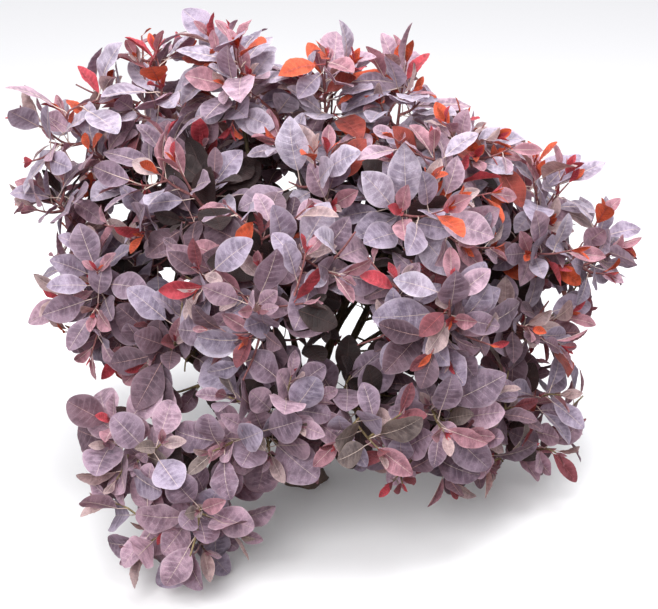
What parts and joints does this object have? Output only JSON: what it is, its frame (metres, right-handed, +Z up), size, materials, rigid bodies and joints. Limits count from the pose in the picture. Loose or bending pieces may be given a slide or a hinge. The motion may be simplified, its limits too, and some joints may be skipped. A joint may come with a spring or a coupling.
{
  "type": "smoke bush",
  "caption": "Low rounded shrub with purple oval leaves in rosettes, on arching stems from a short rooted trunk.",
  "frame": {"origin": "centre of the flat cut under the trunk, at ground level", "axes": "+Z up; -Y is the side the picture shows; +X is to its right and is the bush's longest side"},
  "size_m": [1.0127, 0.7782, 0.7697],
  "materials": {
    "bark": "rough grey-brown bark",
    "stem": "olive-brown, redder to the tips",
    "lilac_leaf": "matt, with a pale bloom",
    "plum_leaf": "matt, dark plum"
  },
  "bodies": {
    "root": {"bough_back_flank": "stem", "bough_back_left": "stem", "bough_back_low_left": "stem", "bough_back_low_right": "stem", "bough_back_right": "stem", "bough_back_top": "stem", "bough_front_flank": "stem", "bough_front_heart": "stem", "bough_front_left": "stem", "bough_front_right": "stem", "bough_front_top": "stem", "bough_left_high": "stem", "bough_left_inner": "stem", "bough_left_low": "stem", "bough_left_wing": "stem", "bough_lobe_foot": "stem", "bough_lobe_left": "stem", "bough_lobe_right": "stem", "bough_peak_left": "stem", "bough_peak_mid": "stem", "bough_peak_right": "stem", "bough_right_high": "stem", "bough_right_low": "stem", "bough_right_mid": "stem", "bough_right_tip": "stem", "bough_skirt_mid": "stem", "bough_skirt_right": "stem", "bough_upper_left": "stem", "bough_upper_right": "stem", "foliage_back_flank": "plum_leaf", "foliage_back_left": "plum_leaf", "foliage_back_low_left": "plum_leaf", "foliage_back_low_right": "plum_leaf", "foliage_back_right": "plum_leaf", "foliage_back_top": "plum_leaf", "foliage_front_flank": "lilac_leaf", "foliage_front_heart": "lilac_leaf", "foliage_front_left": "lilac_leaf", "foliage_front_right": "lilac_leaf", "foliage_front_top": "lilac_leaf", "foliage_left_high": "lilac_leaf", "foliage_left_inner": "plum_leaf", "foliage_left_low": "lilac_leaf", "foliage_left_wing": "lilac_leaf", "foliage_lobe_foot": "plum_leaf", "foliage_lobe_left": "plum_leaf", "foliage_lobe_right": "plum_leaf", "foliage_peak_left": "lilac_leaf", "foliage_peak_mid": "lilac_leaf", "foliage_peak_right": "lilac_leaf", "foliage_right_high": "lilac_leaf", "foliage_right_low": "plum_leaf", "foliage_right_mid": "lilac_leaf", "foliage_right_tip": "lilac_leaf", "foliage_skirt_mid": "plum_leaf", "foliage_skirt_right": "plum_leaf", "foliage_upper_left": "lilac_leaf", "foliage_upper_right": "lilac_leaf", "trunk": "bark"}
  },
  "joints": []
}
